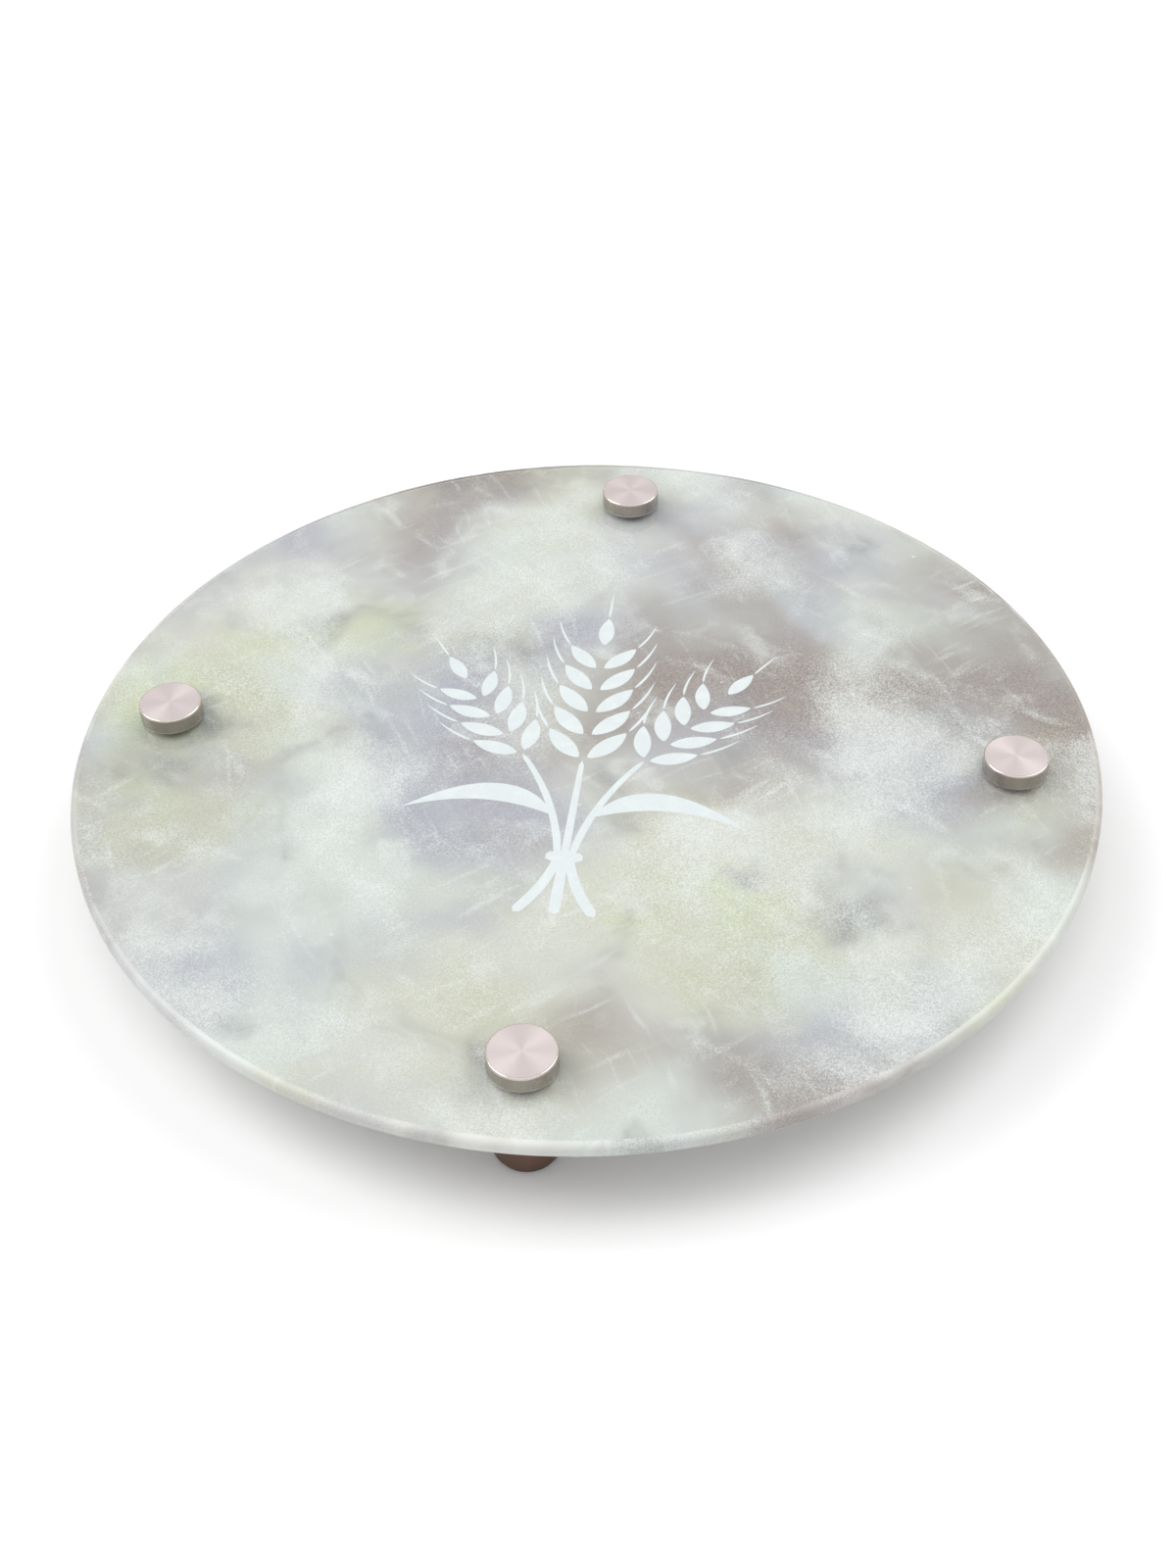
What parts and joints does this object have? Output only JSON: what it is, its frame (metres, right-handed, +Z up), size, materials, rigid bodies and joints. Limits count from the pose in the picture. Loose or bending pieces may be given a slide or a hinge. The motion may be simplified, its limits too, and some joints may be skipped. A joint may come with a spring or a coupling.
{
  "type": "matzah plate",
  "caption": "Round footed serving plate for matzah: glass disc with a soft colour wash printed under it, clamped by screw-down steel caps onto stand-off feet.",
  "frame": {"origin": "on the table, under the middle of the plate, level with the undersides of the foot pads", "axes": "+Z up out of the serving face; the feet stand on the X and Y axes, with the front foot on -Y"},
  "size_m": [0.305, 0.305, 0.0386],
  "materials": {
    "glass": "clear, with a ground edge",
    "print": "white film printed with a pale cloudy wash",
    "cap_steel": "turned, satin, slightly warm",
    "stud_steel": "bright thread",
    "barrel_metal": "satin, dark warm brown",
    "seal": "dark, soft",
    "pad": "matt"
  },
  "bodies": {
    "plate": {"glass_plate": "glass", "printed_film": "print", "right_sleeve": "seal", "back_sleeve": "seal", "left_sleeve": "seal", "front_sleeve": "seal", "right_lower_washer": "seal", "back_lower_washer": "seal", "left_lower_washer": "seal", "front_lower_washer": "seal", "right_barrel": "barrel_metal", "back_barrel": "barrel_metal", "left_barrel": "barrel_metal", "front_barrel": "barrel_metal", "right_foot_pad": "pad", "back_foot_pad": "pad", "left_foot_pad": "pad", "front_foot_pad": "pad"},
    "right_seal_ring": {"right_upper_washer": "seal"},
    "right_screw_cap": {"right_cap": "cap_steel", "right_stud": "stud_steel"},
    "back_seal_ring": {"back_upper_washer": "seal"},
    "back_screw_cap": {"back_cap": "cap_steel", "back_stud": "stud_steel"},
    "left_seal_ring": {"left_upper_washer": "seal"},
    "left_screw_cap": {"left_cap": "cap_steel", "left_stud": "stud_steel"},
    "front_seal_ring": {"front_upper_washer": "seal"},
    "front_screw_cap": {"front_cap": "cap_steel", "front_stud": "stud_steel"}
  },
  "joints": [
    {"name": "right_cap_turn", "type": "hinge", "parent": "plate", "child": "right_seal_ring", "pos_m": [0.1271, 0, 0.03355], "axis": [0, 0, 1], "range_deg": [0, 2880]},
    {"name": "right_cap_lift", "type": "slide", "parent": "right_seal_ring", "child": "right_screw_cap", "axis": [0, 0, 1], "range_m": [0, 0.01]},
    {"name": "back_cap_turn", "type": "hinge", "parent": "plate", "child": "back_seal_ring", "pos_m": [0, 0.1271, 0.03355], "axis": [0, 0, 1], "range_deg": [0, 2880]},
    {"name": "back_cap_lift", "type": "slide", "parent": "back_seal_ring", "child": "back_screw_cap", "axis": [0, 0, 1], "range_m": [0, 0.01]},
    {"name": "left_cap_turn", "type": "hinge", "parent": "plate", "child": "left_seal_ring", "pos_m": [-0.1271, 0, 0.03355], "axis": [0, 0, 1], "range_deg": [0, 2880]},
    {"name": "left_cap_lift", "type": "slide", "parent": "left_seal_ring", "child": "left_screw_cap", "axis": [0, 0, 1], "range_m": [0, 0.01]},
    {"name": "front_cap_turn", "type": "hinge", "parent": "plate", "child": "front_seal_ring", "pos_m": [0, -0.1271, 0.03355], "axis": [0, 0, 1], "range_deg": [0, 2880]},
    {"name": "front_cap_lift", "type": "slide", "parent": "front_seal_ring", "child": "front_screw_cap", "axis": [0, 0, 1], "range_m": [0, 0.01]}
  ],
  "couplings": [
    {"joint": "right_cap_lift", "follows": "right_cap_turn", "m_per_rad": 0.00019894},
    {"joint": "back_cap_lift", "follows": "back_cap_turn", "m_per_rad": 0.00019894},
    {"joint": "left_cap_lift", "follows": "left_cap_turn", "m_per_rad": 0.00019894},
    {"joint": "front_cap_lift", "follows": "front_cap_turn", "m_per_rad": 0.00019894}
  ]
}
